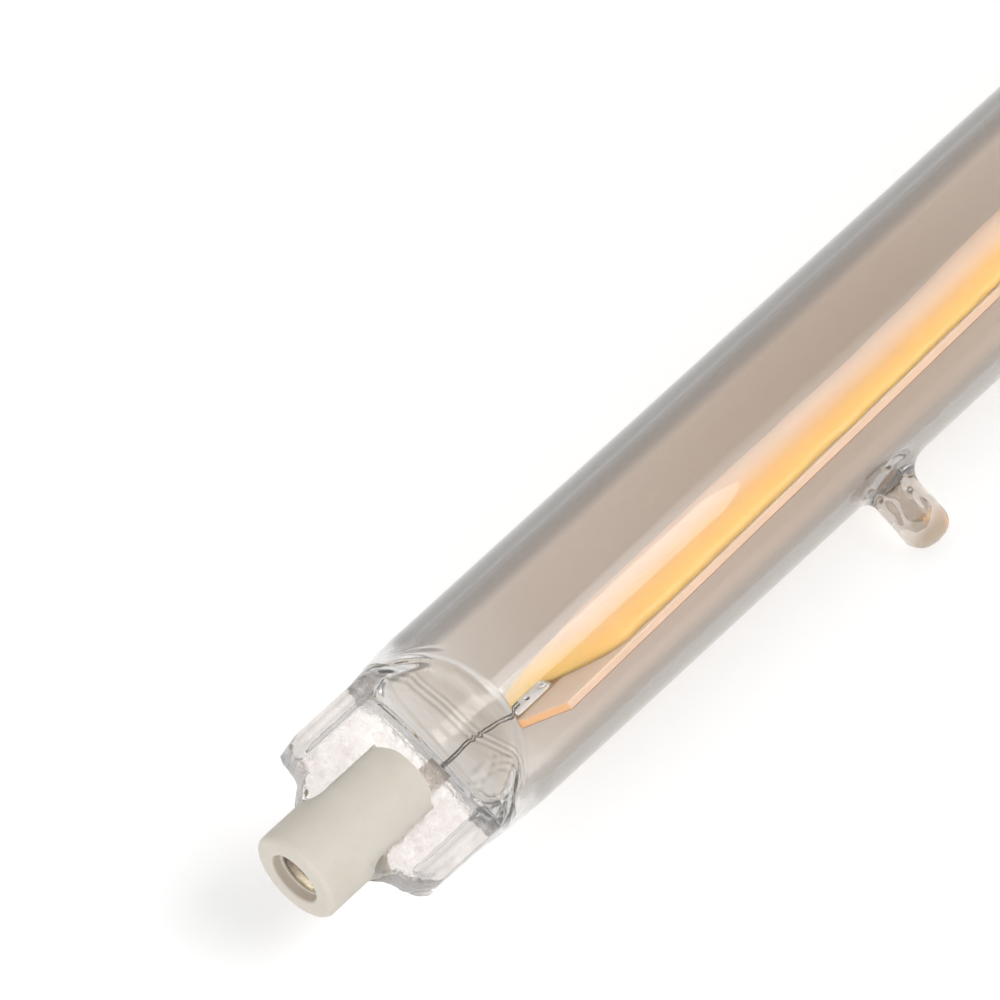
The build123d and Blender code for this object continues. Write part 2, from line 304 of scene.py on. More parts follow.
def tinted_material(name, rough, size, soft, reach, relief):
    """A soft, slightly uneven stuff whose colour comes from the piece's tint."""
    material, tree, shader, _ = new_material(name)
    tint = add(tree, "ShaderNodeAttribute", attribute_name="tint").outputs["Color"]
    tone = speckle(tree, size)
    colour = mix_colours(tree, 1.0, tint, uneven(tree, tone, (0.95, 0.945, 0.93), (1, 1, 1)), "MULTIPLY")
    fix(shader, Subsurface_Weight=soft, Subsurface_Radius=reach, Subsurface_Scale=1.0)
    dress(shader, colour, tone, rough, relief, strength=0.5)
    return material


def paint(node, material):
    mesh = nodes[node].data
    mesh.materials.clear()
    mesh.materials.append(material)


def show(name, data):
    """A new object in the scene."""
    piece = bpy.data.objects.new(name, data)
    bpy.context.scene.collection.objects.link(piece)
    return piece


def mesh_data(mesh, name):
    """A bmesh as the mesh of an object."""
    data = bpy.data.meshes.new(name)
    mesh.to_mesh(data)
    mesh.free()
    return data


def keep(name, data, material, slot, *replaced):
    """Puts a finished mesh in the scene in place of its CAD nodes."""
    piece = show(name, data)
    data.materials.append(material)
    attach(piece, "root")
    for node in replaced:
        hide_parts(node)


# Curves and noise


def eased(points, sigma=0.06):
    """A smooth curve through (depth, value) points, as a function of depth."""
    step = 0.01
    depths = np.arange(0, 70, step)
    values = np.interp(depths, [point[0] for point in points], [point[1] for point in points])
    reach = int(4 * sigma / step)
    window = np.exp(-0.5 * (np.arange(-reach, reach + 1) * step / sigma) ** 2)
    padded = np.pad(values, reach, mode="edge")
    values = np.convolve(padded, window / window.sum(), mode="valid")
    return lambda depth: np.interp(depth, depths, values)


def soft_min(a, b, width):
    """The smaller of two values, rounded over where they cross."""
    near = np.maximum(width - np.abs(a - b), 0) / width
    return np.minimum(a, b) - near * near * width / 4


def step_up(value, start, end):
    """0 before start, 1 after end, eased between."""
    share = np.clip((value - start) / (end - start), 0, 1)
    return share * share * (3 - 2 * share)


def hump(value, centre, width):
    """1 at the centre, fading to both sides."""
    return np.exp(-(((value - centre) / width) ** 2))


def wave(value, length):
    """A ripple of the given length along a value."""
    return np.sin(value * 2 * np.pi / length)


def wander(x, y, z, size, seed):
    """Smooth noise of about the given feature size, from -1 to 1, for arrays of places."""
    shape = np.shape(x)
    flat = zip(np.ravel(x), np.ravel(y), np.ravel(z))
    shift = 17.3 * seed
    values = [noise.noise(Vector((a / size + shift, b / size - shift, c / size + shift))) for a, b, c in flat]
    return np.reshape(values, shape)


# The glass envelope. Depth is how far a place is from the nearer end of the lamp, and the upper side is
# the one above the lead in the picture. The pairs are (depth, value) where nothing else is said

TUBE_RADIUS = 7.5
BORE_RADIUS = 6.5
# Where the web starts and where its hollow starts
WEB_START = 4.05
SEAL = 13.68
# Half widths of the web and shoulder, and the line of the web's front that its melted rim follows
STEP_UPPER = [(4.9, 4.25), (5.4, 4.62), (5.62, 5.2), (5.7, 6.3), (5.95, 6.8)]
STEP_LOWER = [(5.0, 4.1), (5.4, 4.85), (5.56, 5.5), (6.0, 6.1), (6.6, 6.67)]
UPPER_WIDTH = eased([(4.05, 3.5), (4.3, 3.75), *STEP_UPPER, (6.5, 7.0), (12.2, 7.02), (13.3, 7.2),
                     (14.4, 7.46), (15.5, 7.58), (16.6, 7.57), (18, 7.5)])
LOWER_WIDTH = eased([(4.05, 3.2), (4.45, 3.45), *STEP_LOWER, (7.1, 6.92), (12.2, 7.0), (13.3, 7.15),
                     (14.4, 7.4), (15.5, 7.55), (16.6, 7.55), (18, 7.5)])
WEB_FRONT_UPPER = [(4.05, 0.0), (4.05, 3.5), *STEP_UPPER, (6.5, 7.2)]
WEB_FRONT_LOWER = [(4.05, 0.0), (4.05, 3.2), *STEP_LOWER, (7.1, 7.1)]
RIM = 0.95
# Half heights that the press leaves outside and inside, and the half width inside
OUTSIDE_HEIGHT = eased([
    (4, 1.9), (13.05, 1.9), (14.2, 3.5), (14.6, 4.55), (15.0, 5.35), (15.55, 6.26), (16.1, 7.0), (16.6, 7.6),
    (16.9, 7.95), (17.4, 8.4), (19, 9.5),
], 0.1)
INSIDE_HEIGHT = eased([
    (13.66, 0.05), (13.9, 0.5), (14.8, 1.95), (15.2, 3.0), (15.6, 3.85), (16.15, 4.95), (16.7, 5.85),
    (17.2, 6.5), (17.5, 6.95), (18.5, 7.8),
], 0.1)
INSIDE_WIDTH = eased([(13.66, 5.2), (13.9, 5.8), (14.4, 6.25), (15.2, 6.5), (60, 6.5)], 0.1)
# The ribs along the web's sides: where each starts and has its middle, upper and lower
RIB_START = (5.55, 5.12)
RIB_MIDDLE = (6.3, 6.1)
RIB_HEIGHT = 2.5
RIB_CROWN = 0.22
# The crease of the shoulder, as (place across, depth). It has one lobe on each side of the lead
CREASE = [(-6.3, 13.4), (-6.05, 14.0), (-5.5, 15.0), (-4.8, 15.35), (-4.0, 15.4), (-2.6, 15.1), (-1.2, 14.75),
          (1.5, 14.7), (4.4, 14.5), (5.8, 13.7), (6.3, 13.4)]
CREASE_RIPPLE = 0.04
CREASE_WAVE = 0.24
# The loop that the fold leaves in the lower lobe: its middle, how it is squeezed, and its ripple
LOOP_DEPTH = 13.95
LOOP_ASIDE = -4.6
LOOP_SQUEEZE = 0.85
LOOP_RIPPLE = 0.05
LOOP_WAVE = 0.36
# Where the press stopped, and the ripple that it left there
PRESS_LINE = 12.75
PRESS_RIPPLE = 0.02
PRESS_WAVE = 0.36
# The arc in which the shoulder meets the tube: how deep it is at the lead, and how it bows
ARC_DEPTH = 16.6
ARC_BOW = 2.05
ARC_HALF_WIDTH = 6.28
# Spacing of the rings of points along one half of the lamp, as (start, end, spacing)
OUTER_BANDS = [
    (WEB_START, 4.5, 0.1), (4.5, 5.4, 0.18), (5.4, 6.1, 0.07), (6.1, 12.3, 0.25), (12.3, 13.3, 0.08),
    (13.3, 15.75, 0.045), (15.75, 17.2, 0.09), (17.2, 19, 0.35), (19, 47, 1.6), (47, 58.8, 0.6),
]
INNER_BANDS = [
    (SEAL, 14.0, 0.05), (14.0, 15.6, 0.09), (15.6, 17.8, 0.16), (17.8, 19, 0.35), (19, 47, 1.4),
    (47, 58.8, 0.6),
]
# The exhaust tip: its place along the lamp and angle round it, and the opening that it grows from
TIP_PLACE = -6.4
TIP_ANGLE = math.pi + math.radians(4)
TIP_OPENING = (-4.4, 5.6)
TIP_OPENING_ANGLE = math.asin(4.5 / 7.5)


def distance_to_line(depth, aside, points):
    """How far each place is from a line through the given points."""
    best = np.full(np.shape(depth), 1e9)
    for (d0, a0), (d1, a1) in zip(points[:-1], points[1:]):
        run, rise = d1 - d0, a1 - a0
        share = np.clip(((depth - d0) * run + (aside - a0) * rise) / (run * run + rise * rise), 0, 1)
        best = np.minimum(best, np.hypot(depth - d0 - share * run, aside - a0 - share * rise))
    return best


def past_crease(depth, aside):
    """How far a place is past the crease, square to it, and how slanted the crease runs there."""
    places = [place for place, _ in CREASE]
    depths = [place_depth for _, place_depth in CREASE]
    step = 0.15
    middle = np.interp(aside, places, depths)
    before = np.interp(aside - step, places, depths)
    after = np.interp(aside + step, places, depths)
    lean = np.hypot(1, (after - before) / (2 * step))
    return (depth - (before + 2 * middle + after) / 4) / lean, lean


def from_loop(depth, aside):
    """How far a place is from the middle of the fold's loop."""
    return np.hypot(depth - LOOP_DEPTH, LOOP_SQUEEZE * (aside - LOOP_ASIDE))


def arc_depth(aside):
    """How deep the shoulder meets the tube at a place across."""
    return ARC_DEPTH - ARC_BOW * np.abs(aside / ARC_HALF_WIDTH) ** 3


def bead_strength(aside):
    """The bead on that arc is strong on the upper side and faint on the lower."""
    return 0.2 + 0.8 * step_up(aside, -1.5, 1.0)


def in_pinch(depth):
    """1 in the pinch and 0 in the tube."""
    return step_up(-depth, -17.5, -15.5)


def side_rounding(depth):
    """How widely the pinch is rounded over at its two sides, and nothing in the tube."""
    return 0.5 * step_up(-depth, -18, -16) + 1e-6


def pushed_out(aside, above, over, uneven):
    """A place moved out from the axis by its unevenness."""
    share = 1 + uneven / (np.hypot(aside, above) + 1e-9)
    return aside * share, over * above * share


def pressed_outside(depth, aside):
    """Half height of the pressed glass at a depth and a place across."""
    across = np.abs(aside)
    upper = aside > 0
    bend = depth + 0.95 * step_up(across, 3.7, 6.6)
    curved = step_up(depth, 12.2, 13.0)
    height = OUTSIDE_HEIGHT(depth) * (1 - curved) + OUTSIDE_HEIGHT(bend) * curved
    rib_start = np.where(upper, *RIB_START)
    crown = RIB_HEIGHT - RIB_CROWN * ((across - np.where(upper, *RIB_MIDDLE)) / 0.8) ** 2
    rib = step_up(across, rib_start - 0.16, rib_start + 0.16) * step_up(depth, 5.7, 6.5)
    height = np.maximum(height, height * (1 - rib) + crown * rib)
    # Ripples that follow the crease, the loop and the line where the press stopped
    past, lean = past_crease(depth, aside)
    ripple = hump(past, -0.05, 0.2) * wave(past, CREASE_WAVE)
    height = height + CREASE_RIPPLE * lean * ripple * (1 + 0.5 * hump(aside, LOOP_ASIDE, 1.2))
    loop = from_loop(depth, aside)
    height = height + LOOP_RIPPLE * hump(loop, 0.95, 0.4) * wave(loop, LOOP_WAVE) * (aside < 0)
    stop = hump(depth, PRESS_LINE, 0.3)
    height = height + PRESS_RIPPLE * stop * wave(depth + 0.1 * aside, PRESS_WAVE)
    # The melted round rim of the web's front
    upper_line = distance_to_line(depth, across, WEB_FRONT_UPPER)
    lower_line = distance_to_line(depth, across, WEB_FRONT_LOWER)
    inside = np.clip(np.where(upper, upper_line, lower_line) / RIM, 0, 1)
    rounding = RIM * (1 - np.sqrt(np.maximum(1 - (1 - inside) ** 2, 0)))
    return height - rounding * (depth < 9)


def outside_point(x, angle):
    """A point of the outer surface at a place along the lamp and an angle round it."""
    depth = END - np.abs(x)
    round_y = TUBE_RADIUS * np.cos(angle)
    round_z = TUBE_RADIUS * np.sin(angle)
    wide = np.where(round_y > 0, UPPER_WIDTH(depth), LOWER_WIDTH(depth))
    grow = np.maximum(wide / TUBE_RADIUS, 1)
    aside = np.sign(round_y) * soft_min(np.abs(round_y) * grow, wide, side_rounding(depth))
    over = np.sign(round_z)
    above = soft_min(np.abs(round_z), pressed_outside(depth, aside), 0.5)
    above = np.where(depth > 18, np.abs(round_z), above)
    # Unevenness: knots where the ribs meet the shoulder, a wavy pinch, and a nearly true tube
    knot = hump(depth, 13.5, 0.55) * (hump(aside, 5.9, 0.6) + hump(aside, -5.7, 0.6))
    pinch = in_pinch(depth)
    place_at = (x, aside, over * above)
    uneven = 0.05 * knot * wander(*place_at, 0.32, 1)
    uneven = uneven + 0.03 * pinch * wander(*place_at, 1.3, 2)
    uneven = uneven + 0.011 * pinch * wander(*place_at, 0.45, 3)
    uneven = uneven + 0.006 * (1 - pinch) * wander(x * 0.35, aside, over * above, 4.0, 4)
    # The bead on the shoulder's arc, a squiggle where the lead crosses it, and a second bead beside its
    # upper end
    arc = arc_depth(aside)
    uneven = uneven + 0.1 * bead_strength(aside) * hump(depth, arc, 0.2) * (depth > 14)
    at_lead = hump(depth, 14.9, 0.4) * hump(aside, -0.1, 0.5)
    uneven = uneven + 0.06 * at_lead * wander(*place_at, 0.36, 7)
    second = step_up(aside, 3.4, 4.6) * (depth > 14)
    uneven = uneven + 0.04 * second * hump(depth, arc + 1.9 - 0.22 * aside, 0.14)
    return x, *pushed_out(aside, above, over, uneven)


def inside_point(x, angle):
    """A point of the inner surface."""
    depth = END - np.abs(x)
    round_y = BORE_RADIUS * np.cos(angle)
    round_z = BORE_RADIUS * np.sin(angle)
    across = soft_min(np.abs(round_y), INSIDE_WIDTH(depth), side_rounding(depth))
    aside = np.sign(round_y) * across
    over = np.sign(round_z)
    bend = depth + 0.8 * step_up(across, 3.6, 6.2) * step_up(depth, 13.7, 14.3)
    high = INSIDE_HEIGHT(bend) + 0.03 * hump(bend, 15.0, 0.35) * wave(bend, 0.38)
    above = np.maximum(soft_min(np.abs(round_z), high, 0.4), 0.01 * np.abs(np.sin(angle)))
    above = np.where(depth > 18.5, np.abs(round_z), above)
    pinch = in_pinch(depth)
    uneven = 0.02 * pinch * step_up(depth, 13.8, 14.6) * wander(x, aside, over * above, 0.9, 5)
    uneven = uneven + 0.006 * (1 - pinch) * wander(x * 0.35, aside, over * above, 3.0, 6)
    return x, *pushed_out(aside, above, over, uneven)


def stations(bands):
    """Places along the lamp: the bands as depths from one end, then their mirror image."""
    near = []
    for start, end, spacing in bands:
        count = max(1, round((end - start) / spacing))
        near += [start + (end - start) * i / count for i in range(count)]
    left = [depth - END for depth in near]
    return np.array(left + [0.0] + [-place for place in reversed(left)])


def angles(count, sharpness):
    """Angles round the lamp, closer together at the ribs' edges and the pinch's sides."""
    corner = math.acos(5.4 / 7.5)
    peaks = [corner, math.pi - corner, math.pi + corner, 2 * math.pi - corner]
    peaks += [math.radians(peak) for peak in (20, 160, 200, 340)]
    fine = np.linspace(0, 2 * np.pi, 3601)
    density = np.ones_like(fine)
    for peak in peaks:
        away = (fine - peak + np.pi) % (2 * np.pi) - np.pi
        density += sharpness * np.exp(-((away / math.radians(7)) ** 2))
    total = np.concatenate([[0], np.cumsum((density[1:] + density[:-1]) / 2)])
    return np.interp(np.arange(count) / count * total[-1], total, fine)


def shifted(ring):
    """A ring that starts at its next place."""
    return ring[1:] + ring[:1]


def new_vertex(mesh, x, y, z):
    return mesh.verts.new(turned(x, y, z) * MM)


def new_face(mesh, inward, *corners):
    """A smooth face between the corners that differ, facing the axis if inward."""
    unique = []
    for corner in corners:
        if corner not in unique:
            unique.append(corner)
    if len(unique) > 2:
        made = mesh.faces.new(reversed(unique) if inward else unique)
        made.smooth = True


def shell(mesh, point, places, turns, tip):
    """Adds one closed surface to a bmesh: a tube with pinched ends, and its side of the exhaust tip."""
    inward = tip["inward"]
    grid_x, grid_angle = np.meshgrid(places, turns, indexing="ij")
    x, y, z = point(grid_x, grid_angle)
    rows, columns = grid_x.shape
    away = (turns - TIP_ANGLE + np.pi) % (2 * np.pi) - np.pi
    low_row, high_row = (int(np.argmin(np.abs(places - (TIP_PLACE + reach)))) for reach in TIP_OPENING)
    opening = [i for i in range(columns) if abs(away[i]) <= TIP_OPENING_ANGLE]
    low_column, high_column = opening[0], opening[-1]
    points = {}
    for j in range(rows):
        for i in range(columns):
            if low_row < j < high_row and low_column < i < high_column:
                continue
            points[j, i] = new_vertex(mesh, x[j, i], y[j, i], z[j, i])
    for j in range(rows - 1):
        for i in range(columns):
            if low_row <= j < high_row and low_column <= i < high_column:
                continue
            k = (i + 1) % columns
            new_face(mesh, inward, points[j, i], points[j, k], points[j + 1, k], points[j + 1, i])
    for row, flip in ((0, True), (rows - 1, False)):
        centre = new_vertex(mesh, x[row, 0], 0, 0)
        for i in range(columns):
            k = (i + 1) % columns
            pair = (points[row, k], points[row, i]) if flip else (points[row, i], points[row, k])
            new_face(mesh, inward, *pair, centre)
    edge = [(j, low_column) for j in range(low_row, high_row)]
    edge += [(high_row, i) for i in range(low_column, high_column)]
    edge += [(j, high_column) for j in range(high_row, low_row, -1)]
    edge += [(low_row, i) for i in range(high_column, low_column, -1)]
    across = np.array([tip["wall"] * math.sin(away[i]) for _, i in edge])
    along = np.array([places[j] - TIP_PLACE for j, _ in edge])
    exhaust_tip(mesh, [points[key] for key in edge], along, across, tip)


def exhaust_tip(mesh, edge, along_tip, across_tip, tip):
    """Rings from the edge of the opening over a flare, along the tip and over its closed end."""
    wall, radius, inward = tip["wall"], tip["radius"], tip["inward"]
    flare_small, flare_large = tip["flare"]
    way = np.arctan2(across_tip, along_tip)
    foot = flare_small + (flare_large - flare_small) * (0.5 + 0.5 * np.cos(way)) ** 1.5
    cosine, sine = math.cos(TIP_ANGLE), math.sin(TIP_ANGLE)

    def ring(along, across, reach):
        return [
            new_vertex(mesh, TIP_PLACE + a, cosine * r - sine * s, sine * r + cosine * s)
            for a, s, r in zip(along, across, reach)
        ]

    def surface(across):
        return np.sqrt(np.maximum(wall * wall - across * across, 0))

    rings = [edge]
    for share in (0.2, 0.4, 0.6, 0.8, 1.0):
        along = along_tip + share * (foot * np.cos(way) - along_tip)
        across = across_tip + share * (foot * np.sin(way) - across_tip)
        rings.append(ring(along, across, surface(across)))
    start_reach = surface(foot * np.sin(way))
    corner_reach = surface(radius(0) * np.sin(way))
    base = corner_reach + 0.75 * (foot - radius(0))
    for share in np.linspace(0, 1, 13)[1:]:
        first, second, third = (1 - share) ** 2, 2 * share * (1 - share), share * share
        away_from = first * foot + (second + third) * radius(0)
        reach = first * start_reach + second * corner_reach + third * base
        rings.append(ring(away_from * np.cos(way), away_from * np.sin(way), reach))
    for share in np.linspace(0, 1, 33)[1:]:
        spots = [Vector((1.5 * math.cos(a), 1.5 * math.sin(a), 4.2 * share + tip["shift"])) for a in way]
        lumps = np.array([noise.noise(spot) for spot in spots])
        around = radius(share) * (1 + tip["lumps"] * lumps * min(4 * share, 1))
        reach = base + (tip["end"] - base) * share
        rings.append(ring(around * np.cos(way), around * np.sin(way), reach))
    for first, second in zip(rings[:-1], rings[1:]):
        for corners in zip(first, second, shifted(second), shifted(first)):
            new_face(mesh, inward, *corners)
    end = ring([0], [0], [tip["end"]])[0]
    for one, other in zip(rings[-1], shifted(rings[-1])):
        new_face(mesh, inward, one, end, other)


def tip_radius(share):
    """Outer radius of the exhaust tip from its foot to its end."""
    bulge = 1.74 + 0.05 * math.sin(share * math.pi)
    return bulge * (max(1 - max((share - 0.62) / 0.38, 0) ** 2.4, 0)) ** 0.5 if share < 1 else 0.02


def tip_bore(share):
    """Radius of its hollow."""
    narrow = 1.15 - 0.25 * min(share / 0.4, 1)
    return narrow * (max(1 - max((share - 0.75) / 0.25, 0) ** 2, 0)) ** 0.5 if share < 1 else 0.01


# The two sides of the tip: how far the end is from the lamp's axis, the flare of the foot at its tight
# and its wide side, the wall that it grows from, and the size and place of its lumps
TIP_OUTSIDE = {"radius": tip_radius, "end": 12.85, "flare": (3.0, 4.1), "wall": TUBE_RADIUS,
               "lumps": 0.06, "shift": 0, "inward": False}
TIP_INSIDE = {"radius": tip_bore, "end": 11.4, "flare": (1.5, 1.9), "wall": BORE_RADIUS,
              "lumps": 0.3, "shift": 4, "inward": True}

# Tones of the glass. Light that passes one surface keeps the square root of its tone
# The back tones are painted shade on the far, lower half of the glass, the edge tones painted reflections
# that darken the tube's two edges, and the tip's end tone a painted orange reflection of the gel
FRONT = srgb(240, 236, 233)
SHOULDER = srgb(245, 242, 239)
BACK_NEAR_END = srgb(236, 229, 221)
BACK_NEAR = srgb(225, 211, 199)
BACK_MIDDLE = srgb(214, 197, 181)
UPPER_EDGE_REFLECTION = srgb(124, 121, 117)
LOWER_EDGE_REFLECTION = srgb(176, 170, 163)
PINCH_BACK = srgb(246, 243, 241)
TIP_TONE = srgb(216, 208, 200)
TIP_FAR = srgb(168, 152, 132)
TIP_END_REFLECTION = srgb(222, 150, 84)
DOME = srgb(224, 216, 208)
DOME_BACK = srgb(250, 247, 243)
RIB = (0.86, 0.84, 0.83)
# A dark line takes a little more of the green and the blue
LINE_WARMTH = np.array([1.0, 1.04, 1.08])
# Where the frosted face ends and the drawn lines of the ribs start, upper and lower
FACE_EDGE = (5.5, 5.05)
RIB_LINE = (5.5, 5.1)


def blend(first, second, share):
    """Two colours mixed, for one share or an array of them."""
    share = np.asarray(share)[..., None]
    return np.asarray(first) * (1 - share) + np.asarray(second) * share


def toward(tint, colour, share):
    """The tint of each place moved toward a colour by its share."""
    return tint + (np.asarray(colour) - tint) * share[:, None]


def fold_lines(depth, above):
    """Where the drawn lines of the fold are full strength: on the outside, and weaker behind."""
    outer = np.abs(above) > np.minimum(OUTSIDE_HEIGHT(depth), 5.5) - 0.9
    return outer * np.where(above > 0, 1.0, 0.35) * (depth > 11.8) * (depth < 19)


def bright_lines(depth, aside, above):
    """Light along the ridges of the crease, the bead, the press line and the loop."""
    past, _ = past_crease(depth, aside)
    loop = from_loop(depth, aside)
    lines = hump(past, -0.13, 0.06) + hump(past, 0.12, 0.06)
    lines = lines + bead_strength(aside) * hump(depth, arc_depth(aside), 0.22)
    lines = lines + 0.8 * hump(depth, 12.95 + 0.03 * aside, 0.2)
    lines = lines + (hump(loop, 0.8, 0.07) + hump(loop, 1.15, 0.07)) * (aside < 0)
    return np.clip(lines, 0, 1) * fold_lines(depth, above)


def dark_lines(depth, aside, above):
    """Shade in the grooves beside those ridges and along the ribs."""
    past, _ = past_crease(depth, aside)
    loop = from_loop(depth, aside)
    arc = arc_depth(aside)
    lines = 0.42 * (hump(past, -0.25, 0.05) + hump(past, 0.0, 0.05) + 0.8 * hump(past, 0.24, 0.05))
    lines = lines + 0.1 * (hump(depth, arc - 0.42, 0.09) + hump(depth, arc + 0.42, 0.09))
    lines = lines + 0.22 * (hump(depth, 12.5, 0.06) + hump(depth, 13.4 + 0.03 * aside, 0.07))
    grooves = sum(hump(loop, radius, 0.05) for radius in (0.63, 0.98, 1.32))
    lines = lines + 0.35 * (aside < 0) * grooves
    across = np.abs(aside) + 0.05 * wander(depth, aside, above, 0.9, 8)
    edge = np.where(aside > 0, *RIB_LINE)
    on_rib = (depth > 6.2) * (depth < 13) * (np.abs(above) > 0.9) * np.where(above > 0, 1.0, 0.4)
    rib = 0.3 * hump(across, edge, 0.09) + 0.2 * hump(across, edge + 0.55, 0.08)
    rib = rib + 0.22 * hump(across, edge + 1.1, 0.12)
    return np.clip(lines * fold_lines(depth, above) + rib * on_rib, 0, 0.6)


def glass_tint(x, depth, aside, above, rib):
    """The tint of each place: back and front, with painted shade on the back; painted reflections on the
    tube's two edges; the pinch; its lines of painted highlight and shade; and the tip with a painted orange
    reflection at its end.
    """
    # Painted shade on the back half, lighter toward the near end and in the dome
    back = blend(BACK_NEAR_END, BACK_NEAR, step_up(depth, 20, 30))
    back = blend(back, BACK_MIDDLE, step_up(depth, 26, 58))
    back = blend(DOME_BACK, back, step_up(depth, 19.8, 22.6))
    # Painted shade: the back is lighter toward the lower side and darker toward the upper side
    back = back * (1 + 0.06 * step_up(-aside, 0.5, 4) - 0.07 * step_up(aside, 0.5, 4))[:, None]
    tint = blend(DOME, FRONT, step_up(depth - arc_depth(aside), -0.1, 0.3) * (depth > 13.5))
    tint = toward(tint, back, step_up(-above, -1.2, 1.8))
    # Painted reflections of the floor darken the tube's upper edge strongly and its lower edge less
    round_part = 0.9 * step_up(depth, 14.4, 16.6)
    tint = toward(tint, UPPER_EDGE_REFLECTION, step_up(aside, 5.6, 6.7) * round_part)
    tint = toward(tint, LOWER_EDGE_REFLECTION, step_up(-aside, 5.8, 6.9) * round_part)
    pinch = step_up(-depth, -16.0, -13.8)
    tint = toward(tint, blend(SHOULDER, PINCH_BACK, step_up(-above, -0.5, 0.5)), pinch)
    tint = tint * (1 - rib[:, None] * (1 - np.asarray(RIB)))
    tint = tint * (1 - 0.06 * pinch * step_up(-aside, 1.0, 3.0) * (above > 0))[:, None]
    tint = toward(tint, 1, bright_lines(depth, aside, above))
    tint = tint * (1 - dark_lines(depth, aside, above))[:, None] ** LINE_WARMTH
    tint = np.clip(tint, 0, 1)
    # The tip is toned greyer and darker toward its end, where a painted orange reflection of the gel lies on
    # one side
    out = np.hypot(aside, above)
    tip = step_up(out, 7.7, 8.6) * (np.abs(x - TIP_PLACE) < 6)
    tint = toward(tint, TIP_TONE, tip)
    tint = toward(tint, TIP_FAR, tip * step_up(out, 11.2, 12.2))
    return toward(tint, TIP_END_REFLECTION, tip * hump(out, 12.5, 0.9) * step_up(x - TIP_PLACE, 0.2, 1.4))


def tone_glass(data):
    """Writes the tint and the frost of every vertex."""
    count = len(data.vertices)
    flat = np.empty(count * 3)
    data.vertices.foreach_get("co", flat)
    x, y, z = (flat.reshape(-1, 3) / MM).T
    aside = y * math.cos(LAY) + z * math.sin(LAY)
    above = z * math.cos(LAY) - y * math.sin(LAY)
    depth = END - np.abs(x)
    across = np.abs(aside)
    edge = np.where(aside > 0, *FACE_EDGE)
    rib = step_up(across, edge + 0.1, edge + 0.4) * step_up(depth, 5.5, 6.1)
    rib = rib * step_up(-depth, -13.2, -12.6) * np.where(above > 0, 1.0, 0.3)
    face = step_up(-across, -edge, -edge + 0.25) * step_up(depth, 5.3, 6.0) * step_up(-depth, -12.5, -12.0)
    tint = glass_tint(x, depth, aside, above, rib)
    colour = data.color_attributes.new("tint", "FLOAT_COLOR", "POINT")
    colour.data.foreach_set("color", np.column_stack([tint, np.ones(count)]).ravel())
    frost = data.attributes.new("frost", "FLOAT", "POINT")
    frost.data.foreach_set("value", np.maximum(face * (np.abs(above) > 1.2), 0.4 * rib).ravel())


def glass_envelope(material):
    """The blown tube with its pressed ends and its exhaust tip, outside and inside."""
    mesh = bmesh.new()
    shell(mesh, outside_point, stations(OUTER_BANDS), angles(190, 1.2), TIP_OUTSIDE)
    shell(mesh, inside_point, stations(INNER_BANDS), angles(120, 0.6), TIP_INSIDE)
    data = mesh_data(mesh, "glass_envelope_blown")
    tone_glass(data)
    keep("glass_envelope_blown", data, material, "clear_glass", "glass_envelope")


# The lit strip, in its own frame: along its length, across it, and away from its front face. It is
# turned from the pinch, lies off the lamp's axis and leans a little along its length
STRIP = (
    Matrix.Rotation(LAY - math.radians(68), 4, "X")
    @ Matrix.Translation((0, -0.4, -1.2))
    @ Matrix.Rotation(math.radians(-1.17), 4, "Y")
)
STRIP_HALF = 39.5
STRIP_HALF_WIDTH = 4.8
STRIP_THICKNESS = 0.6
STRIP_BEVEL = 0.1
CUT_LENGTH = 2.2
CUT_WIDTH = 3.6
STRIP_FACE = srgb(226, 203, 180)
STRIP_SIDE = srgb(214, 186, 162)
STRIP_CUT = srgb(226, 176, 124)
STRIP_SHADOW_LINE = srgb(160, 116, 80)


def keep_on_strip(mesh, name, material, slot, *replaced, smooth=True):
    """Moves a bmesh drawn on the strip to its place in the lamp and puts it in the scene."""
    for vertex in mesh.verts:
        vertex.co = (STRIP @ vertex.co) * MM
    bmesh.ops.recalc_face_normals(mesh, faces=mesh.faces)
    for face in mesh.faces:
        face.smooth = smooth
    keep(name, mesh_data(mesh, name), material, slot, *replaced)


def strip_board(material):
    """The translucent strip with its corners cut off, its cut ends and sides warmer, and a painted shadow
    line along its lower rim.
    """
    long, wide = STRIP_HALF, STRIP_HALF_WIDTH
    corners = [(-long, wide - CUT_WIDTH), (-long + CUT_LENGTH, wide)]
    corners += [(long - CUT_LENGTH, wide), (long, wide - CUT_WIDTH)]
    outline = corners + [(x, -y) for x, y in reversed(corners)]
    mesh = bmesh.new()
    top = [mesh.verts.new((x, y, 0)) for x, y in outline]
    bottom = [mesh.verts.new((x, y, -STRIP_THICKNESS)) for x, y in outline]
    mesh.faces.new(top)
    mesh.faces.new(list(reversed(bottom)))
    for corners in zip(top, bottom, shifted(bottom), shifted(top)):
        mesh.faces.new(corners)
    bmesh.ops.recalc_face_normals(mesh, faces=mesh.faces)
    edges = list(mesh.edges)
    bmesh.ops.bevel(mesh, geom=edges, offset=STRIP_BEVEL, segments=2, affect="EDGES", profile=0.6)
    layer = mesh.loops.layers.float_color.new("tint")
    for face in mesh.faces:
        lean, _, up = face.normal
        tone = STRIP_FACE
        if abs(up) < 0.5:
            tone = STRIP_CUT if abs(lean) > 0.3 else STRIP_SIDE
        # The bottom bevel takes a dark painted shadow line along the strip's lower rim
        if face.calc_center_median().z < -STRIP_THICKNESS + 0.11 and abs(up) < 0.95:
            tone = STRIP_SHADOW_LINE
        for loop in face.loops:
            loop[layer] = (*tone, 1)
    keep_on_strip(mesh, "strip_board_cut", material, "strip_ceramic", "strip_board", smooth=False)


